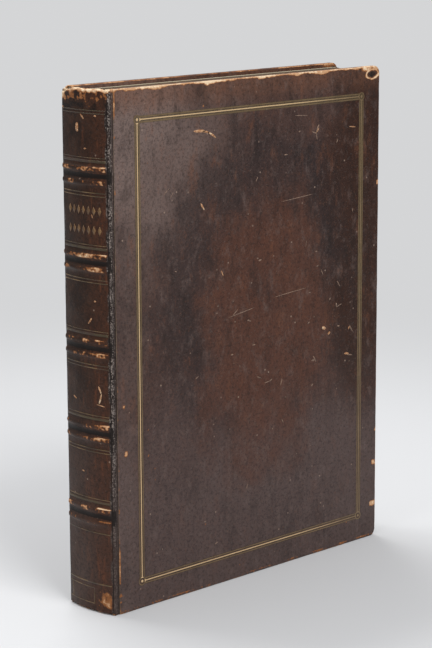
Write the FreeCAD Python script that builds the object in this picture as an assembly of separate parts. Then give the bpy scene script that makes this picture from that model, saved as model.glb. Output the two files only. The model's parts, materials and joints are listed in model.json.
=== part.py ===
import FreeCAD, Part
import math
import os

os.makedirs("parts", exist_ok=True)

# A large folio in full leather, standing on its tail. Millimetres. X runs from the spine to the
# fore edge, the front cover faces -Y, and Z runs up from the tail to the head.

# The covers
cover_height = 465.0
cover_width = 342.0
book_thickness = 61.5
leather_thickness = 1.0
board_thickness = 5.0
cover_corner_radius = 7.0
cover_edge_bevel = 0.9
turn_in_width = 17.0

# The endpapers
pastedown_thickness = 0.3
pastedown_margin = 8.0
flyleaf_thickness = 0.3

# The block of leaves
square = 4.0
fore_edge_hollow = 7.0
shoulder_tip_depth = 3.2
shoulder_foot_setback = 0.6

# The back of the book
spine_bulge = 10.5
back_radius = 100.0
shoulder_radius = 1.6
ridge_depth = 1.0
groove_depth = 1.7
groove_width = 1.5
cap_thickness = 1.3
cap_reach = 6.5
cap_bevel = 1.0

# The sewing cords and their raised bands
band_count = 5
first_band_height = 89.5
band_spacing = 75.3
cords_in_band = 2
cord_pitch = 11.6
cord_radius = 2.3
cord_sinking = 0.3
cord_sides = 6
ridge_sides = 7
cord_end_inset = 3.9
lining_end_inset = 3.6

# The endbands
endband_radius = 1.2

# The gilt tooling
gilt_thickness = 0.12
frame_inset = 26.5
frame_drop = 1.2
frame_line_pitch = 2.3
frame_line_width = 0.9
ring_radius = 4.0
ring_line_width = 1.0
ring_dot_radius = 1.2
spine_line_width = 1.6
spine_line_offset = 14.0
spine_line_inset = 3.9
end_line_height = 27.0

# Clearances
hinge_gap = 0.4
cover_gap = 0.3
glue_gap = 0.1

# Places that follow from the sizes above
half_thickness = book_thickness / 2
cord_reach = leather_thickness + cord_radius
band_rise = cord_radius - cord_sinking
joint_x = (spine_bulge + band_rise - cover_width) / 2
fore_x = joint_x + cover_width
cover_start_x = joint_x + hinge_gap / 2
cover_thickness = 2 * leather_thickness + board_thickness + pastedown_thickness
flyleaf_depth = cover_thickness + cover_gap
block_half_thickness = half_thickness - flyleaf_depth - flyleaf_thickness
block_fore_x = fore_x - square
block_height = cover_height - 2 * square

back_centre_x = joint_x - spine_bulge + back_radius
cord_path_radius = back_radius - leather_thickness - cord_sinking
block_back_radius = cord_path_radius - cord_radius
shoulder_centre_y = half_thickness - ridge_depth - shoulder_radius
shoulder_centre_x = back_centre_x - math.sqrt((back_radius - shoulder_radius) ** 2 - shoulder_centre_y ** 2)


def point(x, y, z=0.0):
    return FreeCAD.Vector(x, y, z)


def line(a, b):
    return Part.LineSegment(a, b).toShape()


def arc(a, middle, b):
    return Part.Arc(a, middle, b).toShape()


def on_back(radius, y):
    """A point at height 0 on the round back, at this radius and this place across the spine."""
    return point(back_centre_x - math.sqrt(radius ** 2 - y ** 2), y)


def closed_face(edges):
    return Part.Face(Part.Wire(Part.__sortEdges__(edges)))


def mirrored(shape):
    """The same shape on the back cover's side of the book."""
    return shape.mirror(point(0, 0), point(0, 1))


def save(shape, node):
    if not shape.isValid():
        raise ValueError(node + " is not a valid solid")
    shape.exportStep("parts/" + node + ".step")
    print(node, "solids", len(shape.Solids), "volume", round(shape.Volume, 1))


# The spine leather's outline, on one side of the book, from its joint edge to the middle of the back.
# Depth is how far the line lies under the leather's outer face.

def shoulder_end(depth):
    """Where the shoulder's small arc runs into the large arc of the back."""
    reach = math.hypot(shoulder_centre_x - back_centre_x, shoulder_centre_y)
    step = (back_radius - depth) / reach
    return point(back_centre_x + (shoulder_centre_x - back_centre_x) * step, shoulder_centre_y * step)


def half_outline(depth, side):
    groove_y = half_thickness - groove_depth - depth
    joint_edge = point(joint_x - hinge_gap / 2, side * groove_y)
    groove_end = point(joint_x - groove_width, side * groove_y)
    ridge = point(shoulder_centre_x, side * (half_thickness - ridge_depth - depth))
    radius = shoulder_radius - depth
    tangent = shoulder_end(depth)
    end_angle = math.atan2(tangent.y - shoulder_centre_y, tangent.x - shoulder_centre_x)
    middle_angle = (math.pi / 2 + end_angle) / 2
    bend = point(
        shoulder_centre_x + radius * math.cos(middle_angle),
        side * (shoulder_centre_y + radius * math.sin(middle_angle)),
    )
    back_start = point(tangent.x, side * tangent.y)
    back_middle = on_back(back_radius - depth, side * tangent.y / 2)
    crown = on_back(back_radius - depth, 0.0)
    edges = [
        line(joint_edge, groove_end),
        line(groove_end, ridge),
        arc(ridge, bend, back_start),
        arc(back_start, back_middle, crown),
    ]
    return edges, joint_edge


def back_band(outer_radius, inner_radius, half_width, bottom, height):
    """A curved strip across the back, between two radii, from one height up."""
    outer = [on_back(outer_radius, y) for y in (-half_width, 0.0, half_width)]
    inner = [on_back(inner_radius, y) for y in (-half_width, 0.0, half_width)]
    face = closed_face([
        arc(*outer),
        arc(*inner),
        line(outer[0], inner[0]),
        line(outer[2], inner[2]),
    ])
    face.translate(point(0, 0, bottom))
    return face.extrude(point(0, 0, height))


def many_sided_cord(path_radius, rope_radius, half_width, height):
    """A thin cord across the back, whose section has flats as a cord has when it is pulled tight."""
    corners = []
    for corner in range(cord_sides + 1):
        angle = 2 * math.pi * corner / cord_sides
        across = path_radius + rope_radius * math.cos(angle)
        corners.append(point(back_centre_x - across, 0, height + rope_radius * math.sin(angle)))
    section = Part.Face(Part.makePolygon(corners))
    return turned_about_back(section, half_width, path_radius)


def turned_about_back(section, half_width, radius):
    """A section in the XZ plane swept round the back's own axis, both ways from the middle."""
    axis_foot = point(back_centre_x, 0)
    reach = math.degrees(math.asin(half_width / radius))
    section.rotate(axis_foot, point(0, 0, 1), -reach)
    return section.revolve(axis_foot, point(0, 0, 1), 2 * reach)


def cord_heights():
    """Each cord's node name and height, from the tail's band up to the head's."""
    cords = []
    for band in range(band_count):
        middle = first_band_height + band * band_spacing
        number = band_count - band
        for cord in range(cords_in_band):
            height = middle + (cord - (cords_in_band - 1) / 2) * cord_pitch
            place = "lower" if cord == 0 else "upper"
            cords.append(("band_%d_%s_cord" % (number, place), height))
    return cords


cord_half_width = half_thickness - cord_end_inset
cords = cord_heights()


def spine_line_heights():
    """The gilt lines on the back: one at each end, and one on each side of every band."""
    heights = [end_line_height]
    for band in range(band_count):
        middle = first_band_height + band * band_spacing
        heights += [middle - spine_line_offset, middle + spine_line_offset]
    return heights + [cover_height - end_line_height]


def make_text_block():
    """The leaves: round back, backed shoulders that hold the boards, and a hollow fore edge."""
    tip_y = half_thickness - shoulder_tip_depth
    foot_x = joint_x - shoulder_foot_setback
    tips = [on_back(block_back_radius, side * tip_y) for side in (-1, 1)]
    feet = [point(foot_x, side * block_half_thickness) for side in (-1, 1)]
    corners = [point(block_fore_x, side * block_half_thickness) for side in (-1, 1)]
    edges = [
        arc(tips[0], on_back(block_back_radius, 0.0), tips[1]),
        line(tips[0], feet[0]),
        line(tips[1], feet[1]),
        line(feet[0], corners[0]),
        line(feet[1], corners[1]),
        arc(corners[0], point(block_fore_x - fore_edge_hollow, 0), corners[1]),
    ]
    face = closed_face(edges)
    face.translate(point(0, 0, square))
    return face.extrude(point(0, 0, block_height))


def make_flyleaf():
    """The front free endpaper, which lies against the block."""
    length = block_fore_x - joint_x
    corner = point(joint_x, -half_thickness + flyleaf_depth, square)
    return Part.makeBox(length, flyleaf_thickness, block_height, corner)


def make_cords():
    return {name: many_sided_cord(cord_path_radius, cord_radius, cord_half_width, z) for name, z in cords}


def make_spine_lining():
    """A curved filling between the block and the leather, cut through where the cords lie."""
    lining = back_band(
        back_radius - leather_thickness - glue_gap,
        block_back_radius + glue_gap,
        half_thickness - lining_end_inset,
        square,
        block_height,
    )
    slot_half_height = cord_radius + glue_gap
    slots = [
        back_band(back_radius, block_back_radius - glue_gap, cord_half_width + glue_gap,
                  z - slot_half_height, 2 * slot_half_height)
        for _, z in cords
    ]
    return lining.cut(slots)


def make_endband(height):
    path_radius = block_back_radius - endband_radius
    return many_sided_cord(path_radius, endband_radius, block_half_thickness - endband_radius, height)


def make_cap(bottom):
    """The leather turned in over an end of the spine, between the two boards."""
    outer_radius = back_radius - leather_thickness / 2
    return back_band(outer_radius, back_radius - cap_reach, block_half_thickness, bottom, cap_thickness)


def make_cap_bevel(height, direction):
    """The space outside a cap's bevelled rim: direction is 1 at the head and -1 at the tail."""
    beyond = leather_thickness
    corners = [
        (back_radius - cap_bevel, 0),
        (back_radius, -cap_bevel),
        (back_radius + beyond, -cap_bevel),
        (back_radius + beyond, beyond),
        (back_radius - cap_bevel, beyond),
        (back_radius - cap_bevel, 0),
    ]
    section = [point(back_centre_x - radius, 0, height + direction * rise) for radius, rise in corners]
    return turned_about_back(Part.Face(Part.makePolygon(section)), half_thickness, back_radius)


def make_ridge(height):
    """The leather moulded over one cord: a rounded ridge that runs a little past the cord's ends."""
    base = back_radius - leather_thickness / 2
    low_angle = math.acos((base - cord_path_radius) / cord_reach)
    corners = []
    for corner in range(ridge_sides + 1):
        angle = low_angle * (2 * corner / ridge_sides - 1)
        across = cord_path_radius + cord_reach * math.cos(angle)
        corners.append(point(back_centre_x - across, 0, height + cord_reach * math.sin(angle)))
    section = Part.Face(Part.makePolygon(corners + corners[:1]))
    return turned_about_back(section, cord_half_width + leather_thickness, cord_path_radius)


def make_spine_leather():
    """The leather of the back: a shaped strip, two caps, raised bands and lines pressed into it."""
    edges = []
    ends = {}
    for depth in (0.0, leather_thickness):
        for side in (-1, 1):
            half, joint_edge = half_outline(depth, side)
            edges += half
            ends[depth, side] = joint_edge
    for side in (-1, 1):
        edges.append(line(ends[0.0, side], ends[leather_thickness, side]))
    strip = closed_face(edges).extrude(point(0, 0, cover_height))
    caps = [make_cap(0.0), make_cap(cover_height - cap_thickness)]
    rims = [make_cap_bevel(cover_height, 1), make_cap_bevel(0.0, -1)]
    leather = strip.fuse(caps).cut(rims)
    ridges = [make_ridge(z) for _, z in cords]
    pockets = [
        many_sided_cord(cord_path_radius, cord_radius + glue_gap, cord_half_width, z) for _, z in cords
    ]
    return leather.fuse(ridges).cut(pockets + spine_lines(back_radius + leather_thickness)).removeSplitter()


def spine_lines(outer_radius):
    """A narrow strip across the back at each gilt line, as deep as the gilt is thick."""
    half_width = half_thickness - spine_line_inset
    return [
        back_band(outer_radius, back_radius - gilt_thickness, half_width,
                  z - spine_line_width / 2, spine_line_width)
        for z in spine_line_heights()
    ]


def make_spine_gilt_lines():
    return Part.makeCompound(spine_lines(back_radius))


def cover_blank(inset, near_depth, far_depth, start_x, bevel=0.0):
    """A slab in the front cover, between two depths, with its two fore-edge corners rounded."""
    width = fore_x - inset - start_x
    height = cover_height - 2 * inset
    slab = Part.makeBox(
        width, far_depth - near_depth, height, point(start_x, -half_thickness + near_depth, inset)
    )
    fore_corners = [
        e for e in slab.Edges
        if e.BoundBox.YLength > (far_depth - near_depth) * 0.99
        and e.BoundBox.XMin > fore_x - inset - 0.001
    ]
    slab = slab.makeFillet(cover_corner_radius - inset, fore_corners)
    if bevel:
        rim = [e for e in slab.Edges if e.BoundBox.YLength < 0.001 and e.BoundBox.XMax > start_x + 0.001]
        slab = slab.makeChamfer(bevel, rim)
    return slab


def make_board():
    inset = leather_thickness + glue_gap
    return cover_blank(inset, leather_thickness, leather_thickness + board_thickness, cover_start_x)


def inner_window(side_margin, start_x, near_depth, far_depth):
    """A plain rectangle on the inside of the front cover, open to the joint."""
    return Part.makeBox(
        fore_x - side_margin - start_x,
        far_depth - near_depth,
        cover_height - 2 * side_margin,
        point(start_x, -half_thickness + near_depth, side_margin),
    )


def make_infill():
    depth = leather_thickness + board_thickness
    margin = turn_in_width + glue_gap
    return inner_window(margin, cover_start_x, depth, depth + leather_thickness)


def make_pastedown():
    depth = 2 * leather_thickness + board_thickness
    return inner_window(pastedown_margin, cover_start_x, depth, depth + pastedown_thickness)


def make_cover_leather():
    """The leather over the front board, turned in round three edges, with the frame pressed into it."""
    outer_depth = 2 * leather_thickness + board_thickness
    blank = cover_blank(0.0, 0.0, outer_depth, cover_start_x, cover_edge_bevel)
    core = cover_blank(
        leather_thickness, leather_thickness, leather_thickness + board_thickness,
        cover_start_x - leather_thickness,
    )
    window = inner_window(
        turn_in_width, cover_start_x - leather_thickness,
        leather_thickness + board_thickness, outer_depth + leather_thickness,
    )
    return blank.cut([core, window, make_frame_channel()])


def frame_lines():
    """The three fillets, each as the distance of its middle from the frame's own middle line."""
    return [(n - 1) * frame_line_pitch for n in range(3)]


def rectangle(inset, near_depth, far_depth):
    return Part.makeBox(
        cover_width - 2 * inset,
        far_depth - near_depth,
        cover_height - 2 * inset,
        point(joint_x + inset, -half_thickness + near_depth, inset - frame_drop),
    )


def disc(x, z, radius, near_depth, far_depth):
    return Part.makeCylinder(
        radius, far_depth - near_depth, point(x, -half_thickness + near_depth, z), point(0, 1, 0)
    )


def ring_places():
    """Where the frame's corners lie on the cover, as x and z."""
    return [
        (x, z)
        for x in (joint_x + frame_inset, fore_x - frame_inset)
        for z in (frame_inset - frame_drop, cover_height - frame_inset - frame_drop)
    ]


def make_frame_channel():
    """The shallow channel pressed into the leather under the whole frame and its corner rings."""
    half_width = (frame_lines()[-1] - frame_lines()[0] + frame_line_width) / 2
    loop = rectangle(frame_inset - half_width, 0.0, gilt_thickness)
    loop = loop.cut(rectangle(frame_inset + half_width, 0.0, gilt_thickness))
    return loop.fuse([disc(x, z, ring_radius, 0.0, gilt_thickness) for x, z in ring_places()])


def make_gilt_frame():
    """The gilt frame: three fillets, with a ring and a dot at each corner."""
    near_depth = 0.0
    far_depth = gilt_thickness
    fillets = []
    for offset in frame_lines():
        outer = frame_inset + offset - frame_line_width / 2
        loop = rectangle(outer, near_depth, far_depth)
        fillets.append(loop.cut(rectangle(outer + frame_line_width, near_depth, far_depth)))
    places = [disc(x, z, ring_radius, near_depth, far_depth) for x, z in ring_places()]
    frame = fillets[0].fuse(fillets[1:]).cut(places)
    rings = [
        place.cut(disc(x, z, ring_radius - ring_line_width, near_depth, far_depth))
        for place, (x, z) in zip(places, ring_places())
    ]
    dots = [disc(x, z, ring_dot_radius, near_depth, far_depth) for x, z in ring_places()]
    return Part.makeCompound(frame.fuse(rings).removeSplitter().Solids + dots)


def build():
    save(make_text_block(), "text_block")
    save(make_spine_lining(), "spine_lining")
    save(make_spine_leather(), "spine_leather")
    save(make_spine_gilt_lines(), "spine_gilt_lines")
    save(make_endband(square + block_height + endband_radius), "head_endband")
    save(make_endband(square - endband_radius), "tail_endband")
    for name, cord in make_cords().items():
        save(cord, name)
    pairs = {
        "flyleaf": make_flyleaf(),
        "board": make_board(),
        "cover_leather": make_cover_leather(),
        "infill": make_infill(),
        "pastedown": make_pastedown(),
        "gilt_frame": make_gilt_frame(),
    }
    for name, shape in pairs.items():
        save(shape, "front_" + name)
        save(mirrored(shape), "back_" + name)
    print("joint axis x", joint_x, "y", half_thickness)


build()
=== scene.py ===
# %% [markdown]
# # A large leather-bound folio, dressed for its portrait
#
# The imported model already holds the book's construction: boards, leaves, cords, and the two joints
# that the covers turn on. This notebook gives it its looks. Every piece is made in metres, in the
# same frame: X runs from the spine to the fore edge, the front cover faces -Y, and Z runs up.

# %% Load the frame and keep its box
import json
import math
import random

import bmesh
import bpy
from mathutils import Matrix, Vector, noise


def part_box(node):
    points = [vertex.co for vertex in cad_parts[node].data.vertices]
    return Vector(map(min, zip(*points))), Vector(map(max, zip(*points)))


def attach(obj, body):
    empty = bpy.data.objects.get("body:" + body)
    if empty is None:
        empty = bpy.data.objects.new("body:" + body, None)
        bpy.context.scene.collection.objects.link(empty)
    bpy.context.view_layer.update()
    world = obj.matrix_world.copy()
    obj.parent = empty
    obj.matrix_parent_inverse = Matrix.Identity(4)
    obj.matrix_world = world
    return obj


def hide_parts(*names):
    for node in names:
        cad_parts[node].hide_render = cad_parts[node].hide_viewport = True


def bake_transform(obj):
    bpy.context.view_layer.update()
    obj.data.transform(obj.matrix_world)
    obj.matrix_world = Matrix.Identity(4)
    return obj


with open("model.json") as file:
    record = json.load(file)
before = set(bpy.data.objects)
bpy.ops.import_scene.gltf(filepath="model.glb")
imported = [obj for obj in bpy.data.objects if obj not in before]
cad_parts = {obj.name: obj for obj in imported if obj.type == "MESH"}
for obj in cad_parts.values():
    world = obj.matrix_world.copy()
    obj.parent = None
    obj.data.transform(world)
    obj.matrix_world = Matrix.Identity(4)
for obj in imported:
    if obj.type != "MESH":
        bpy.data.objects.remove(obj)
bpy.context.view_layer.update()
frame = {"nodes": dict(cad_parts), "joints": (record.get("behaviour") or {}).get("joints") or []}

# %% [markdown]
# ## Sizes that the looks hang on
#
# The frame knows where every piece lies, so the overall sizes are read from it. Only the form of the
# leather over the back is written again here: it is a flat arc between two small shoulders, and the
# leather dips into a groove at each joint before it climbs onto the board.

# %% Read the sizes of the covers and the back
MM = 0.001
leather_low, leather_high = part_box("front_cover_leather")
block_low, block_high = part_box("text_block")
hinge = frame["joints"][0]["pos_m"]
joint_x = hinge[0]
half_thickness = abs(hinge[1])
fore_x = leather_high[0]
book_height = leather_high[2]
cover_width = fore_x - joint_x
board_depth = leather_high[1] - leather_low[1]
book_size = [round(length / MM, 1) for length in (cover_width, book_height, 2 * half_thickness)]
print("cover width, height and thickness:", book_size, "mm")

# %% Read the raised bands and shape the back
cord_nodes = sorted(name for name in frame["nodes"] if name.endswith("_cord"))
cord_boxes = [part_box(name) for name in cord_nodes]
cord_heights = sorted((low[2] + high[2]) / 2 for low, high in cord_boxes)
cord_end_y = max(high[1] for low, high in cord_boxes)
band_heights = [(a + b) / 2 for a, b in zip(cord_heights[0::2], cord_heights[1::2])]

BACK_RADIUS = 100 * MM
BAND_RISE = 2.0 * MM
SPINE_BULGE = 10.5 * MM
SHOULDER_RADIUS = 1.6 * MM
RIDGE_DEPTH = 1.0 * MM
back_centre_x = joint_x - SPINE_BULGE + BACK_RADIUS
shoulder_y = half_thickness - RIDGE_DEPTH - SHOULDER_RADIUS
shoulder_x = back_centre_x - math.sqrt((BACK_RADIUS - SHOULDER_RADIUS) ** 2 - shoulder_y ** 2)
print("bands at", [round(z / MM) for z in band_heights], "mm")

# %% [markdown]
# ## The camera
#
# The photograph was taken with a longish lens from a little above the book's middle, from the
# spine's side. The camera was fitted to the cover's corners, the corner rings of the gilt frame
# and the outline of the back, and its values are written here as an angle, a height and a distance.

# %% Place the camera
LENS = 119.49
AZIMUTH = math.radians(-44.67)
ELEVATION = math.radians(11.38)
ROLL = math.radians(-0.26)
DISTANCE = 1.940
TARGET = Vector((-0.0444, -half_thickness, 0.2457))

backward = Vector((
    math.sin(AZIMUTH) * math.cos(ELEVATION),
    -math.cos(AZIMUTH) * math.cos(ELEVATION),
    math.sin(ELEVATION),
))
camera_data = bpy.data.cameras.new("portrait_camera")
camera_data.lens = LENS
camera_data.sensor_width = 36.0
camera_data.clip_end = 50.0
camera = bpy.data.objects.new("portrait_camera", camera_data)
bpy.context.scene.collection.objects.link(camera)
camera.location = TARGET + backward * DISTANCE
turn = backward.to_track_quat("Z", "Y").to_matrix().to_4x4()
camera.matrix_world = Matrix.Translation(camera.location) @ turn @ Matrix.Rotation(ROLL, 4, "Z")
bpy.context.scene.camera = camera
print("camera at", [round(v, 3) for v in camera.location])

# %% [markdown]
# ## Floor, backdrop and lamps
#
# A pale floor runs out to a pale horizon, so the dark binding stands clear of it. Close to the book
# the floor is plain paper that takes its shadow; further out it melts into the backdrop's colour,
# and only the camera sees that part, so it throws no extra light. The lamps are large and soft.

# %% Make the floor and the backdrop
PALE = (0.66, 0.665, 0.675, 1)
FLOOR_PAPER = (0.70, 0.705, 0.715, 1)


def make_floor():
    shape = bmesh.new()
    bmesh.ops.create_circle(shape, cap_ends=True, segments=96, radius=9.0)
    mesh = bpy.data.meshes.new("studio_floor")
    shape.to_mesh(mesh)
    shape.free()
    floor = bpy.data.objects.new("studio_floor", mesh)
    bpy.context.scene.collection.objects.link(floor)
    material = bpy.data.materials.new("studio_paper")
    material.use_nodes = True
    nodes, links = material.node_tree.nodes, material.node_tree.links
    paper = nodes["Principled BSDF"]
    paper.inputs["Base Color"].default_value = FLOOR_PAPER
    paper.inputs["Roughness"].default_value = 0.9
    paper.inputs["Specular IOR Level"].default_value = 0.1
    haze = nodes.new("ShaderNodeEmission")
    haze.inputs["Color"].default_value = PALE
    place = nodes.new("ShaderNodeTexCoord")
    reach = nodes.new("ShaderNodeVectorMath")
    reach.operation = "LENGTH"
    fade = nodes.new("ShaderNodeMapRange")
    fade.interpolation_type = "SMOOTHSTEP"
    fade.inputs["From Min"].default_value = 0.45
    fade.inputs["From Max"].default_value = 1.5
    seen = nodes.new("ShaderNodeLightPath")
    share = nodes.new("ShaderNodeMath")
    share.operation = "MULTIPLY"
    mixed = nodes.new("ShaderNodeMixShader")
    links.new(place.outputs["Object"], reach.inputs[0])
    links.new(reach.outputs["Value"], fade.inputs["Value"])
    links.new(fade.outputs["Result"], share.inputs[0])
    links.new(seen.outputs["Is Camera Ray"], share.inputs[1])
    links.new(share.outputs[0], mixed.inputs[0])
    links.new(paper.outputs[0], mixed.inputs[1])
    links.new(haze.outputs[0], mixed.inputs[2])
    links.new(mixed.outputs[0], nodes["Material Output"].inputs["Surface"])
    mesh.materials.append(material)


def make_world(level):
    world = bpy.data.worlds.new("studio_world")
    bpy.context.scene.world = world
    world.use_nodes = True
    nodes, links = world.node_tree.nodes, world.node_tree.links
    around = nodes["Background"]
    around.inputs["Color"].default_value = (0.97, 0.98, 1.0, 1)
    around.inputs["Strength"].default_value = level
    behind = nodes.new("ShaderNodeBackground")
    behind.inputs["Color"].default_value = PALE
    seen = nodes.new("ShaderNodeLightPath")
    mixed = nodes.new("ShaderNodeMixShader")
    links.new(seen.outputs["Is Camera Ray"], mixed.inputs[0])
    links.new(around.outputs[0], mixed.inputs[1])
    links.new(behind.outputs[0], mixed.inputs[2])
    links.new(mixed.outputs[0], nodes["World Output"].inputs["Surface"])


make_floor()
make_world(0.42)
bpy.context.scene.view_settings.view_transform = "Standard"
print("floor and world are ready")


# %% Hang the lamps
def hang_lamp(name, place, aim, width, height, watts):
    data = bpy.data.lights.new(name, "AREA")
    data.shape = "RECTANGLE"
    data.size = width
    data.size_y = height
    data.energy = watts
    lamp = bpy.data.objects.new(name, data)
    bpy.context.scene.collection.objects.link(lamp)
    lamp.location = place
    lamp.rotation_euler = (Vector(place) - Vector(aim)).to_track_quat("Z", "Y").to_euler()


book_middle = (0, 0, book_height / 2)
hang_lamp("front_softbox", (-0.4, -1.8, 2.0), book_middle, 1.3, 1.3, 41)
hang_lamp("left_softbox", (-2.1, -0.3, 1.3), book_middle, 0.9, 1.3, 6)
hang_lamp("head_strip", (0.1, 0.9, 1.9), book_middle, 1.4, 0.6, 23)
print("three lamps hang round the book")

# %% [markdown]
# ## A short-hand for finishes
#
# Every finish here is a small graph of nodes that reads the piece's own coordinates. The class below
# keeps those graphs readable: each method adds one node, joins its inputs and hands back its output.


# %% The finish class
class Finish:
    def __init__(self, name):
        self.material = bpy.data.materials.new(name)
        self.material.use_nodes = True
        self.tree = self.material.node_tree
        self.surface = self.tree.nodes["Principled BSDF"]
        self.place = self.add("ShaderNodeTexCoord").outputs["Object"]
        self.axes = self.add("ShaderNodeSeparateXYZ", Vector=self.place).outputs

    def add(self, kind, settings=(), **inputs):
        node = self.tree.nodes.new(kind)
        for key, value in dict(settings).items():
            setattr(node, key, value)
        for key, value in inputs.items():
            self.join(value, node.inputs[key.replace("_", " ")])
        return node

    def join(self, value, socket):
        if isinstance(value, bpy.types.NodeSocket):
            self.tree.links.new(value, socket)
        else:
            socket.default_value = value

    def math(self, operation, a, b=0.0):
        node = self.add("ShaderNodeMath", {"operation": operation})
        self.join(a, node.inputs[0])
        self.join(b, node.inputs[1])
        return node.outputs[0]

    def plus(self, a, b):
        return self.math("ADD", a, b)

    def minus(self, a, b):
        return self.math("SUBTRACT", a, b)

    def times(self, a, b):
        return self.math("MULTIPLY", a, b)

    def noise(self, scale, detail=3.0, stretch=None, roughness=0.5):
        vector = self.place
        if stretch:
            vector = self.add("ShaderNodeMapping", Vector=self.place, Scale=stretch).outputs[0]
        return self.add(
            "ShaderNodeTexNoise", Vector=vector, Scale=scale, Detail=detail, Roughness=roughness
        ).outputs["Fac"]

    def cells(self, scale):
        return self.add("ShaderNodeTexVoronoi", Vector=self.place, Scale=scale).outputs["Distance"]

    def ease(self, value, low, high, start=0.0, end=1.0):
        node = self.add("ShaderNodeMapRange", {"interpolation_type": "SMOOTHSTEP"})
        for key, item in (("Value", value), ("From Min", low), ("From Max", high),
                          ("To Min", start), ("To Max", end)):
            self.join(item, node.inputs[key])
        return node.outputs["Result"]

    def blend(self, factor, a, b):
        node = self.add("ShaderNodeMix", {"data_type": "RGBA"})
        for index, item in ((0, factor), (6, a), (7, b)):
            self.join(item, node.inputs[index])
        return node.outputs[2]

    def attribute(self, name):
        return self.add("ShaderNodeAttribute", {"attribute_name": name}).outputs["Fac"]

    def bump(self, height, distance, strength=1.0, below=None):
        node = self.add("ShaderNodeBump", Height=height, Distance=distance, Strength=strength)
        if below:
            self.join(below, node.inputs["Normal"])
        return node.outputs[0]

    def finish(self, colour, roughness, normal=None, metallic=None):
        self.join(colour, self.surface.inputs["Base Color"])
        self.join(roughness, self.surface.inputs["Roughness"])
        if normal:
            self.join(normal, self.surface.inputs["Normal"])
        if metallic is not None:
            self.join(metallic, self.surface.inputs["Metallic"])
        return self.material


print("finish class is ready")

# %% [markdown]
# ## Leather
#
# The binding is a smooth dark calf, polished by hands and time. Its colour clouds from purple-brown
# to a warm red in the middle of the cover, where it was rubbed, with a dark ring round it and faint
# upright streaks over both; its lighter upper left and darker fore edge are partly the calf's own tone
# and partly painted light falloff and sheen. It goes nearly black in the joints, partly painted shade in
# their grooves. Where the grain has worn off, at edges, corners and on the crests of the bands, the raw
# tan flesh shows. A worn place is a number from 0 to 1 that each mesh carries, broken up by noise; on
# the cords it also carries a painted highlight, and a second number carries dark marks with painted
# shade.

# %% Leather colours
def rgb(red, green, blue):
    return (red, green, blue, 1.0)


CALF_PLUM = rgb(0.061, 0.033, 0.027)
CALF_MAUVE = rgb(0.083, 0.055, 0.050)
CALF_LIGHT = rgb(0.160, 0.113, 0.099)
CALF_RED = rgb(0.084, 0.032, 0.019)
CALF_BROWN = rgb(0.034, 0.013, 0.0075)
CALF_NIGHT = rgb(0.021, 0.015, 0.0155)
CALF_FLECK = rgb(0.170, 0.072, 0.036)
CALF_SPECK_GLINT = rgb(0.300, 0.215, 0.165)
CALF_BLACK = rgb(0.009, 0.006, 0.005)
CALF_GREY = rgb(0.190, 0.170, 0.160)
FLESH_BROWN = rgb(0.260, 0.098, 0.032)
FLESH_TAN = rgb(0.530, 0.300, 0.160)
FLESH_PALE = rgb(0.760, 0.580, 0.390)
CALF_HEAD = rgb(0.150, 0.066, 0.038)
CALF_RUST = rgb(0.165, 0.062, 0.030)
TARNISH_BROWN = rgb(0.085, 0.050, 0.030)
TARNISH_GREEN = rgb(0.108, 0.078, 0.038)
RUBBED_MIDDLE = (0.018, 0.240)
RUBBED_REACH = (0.097, 0.128)
BACK_DARK = rgb(0.021, 0.009, 0.005)
BACK_BROWN = rgb(0.046, 0.021, 0.012)
BACK_TAIL = rgb(0.070, 0.040, 0.031)
BACK_WARM = rgb(0.060, 0.022, 0.011)
BACK_STREAK = rgb(0.140, 0.046, 0.019)
CRACKLE_GREY = rgb(0.105, 0.085, 0.078)
CRACKLE_DUST = rgb(0.215, 0.180, 0.158)
CRACKLE_BROWN = rgb(0.052, 0.034, 0.029)
print("the rubbed middle is %.0f mm wide and %.0f mm high" % tuple(2 * r / MM for r in RUBBED_REACH))


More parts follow.
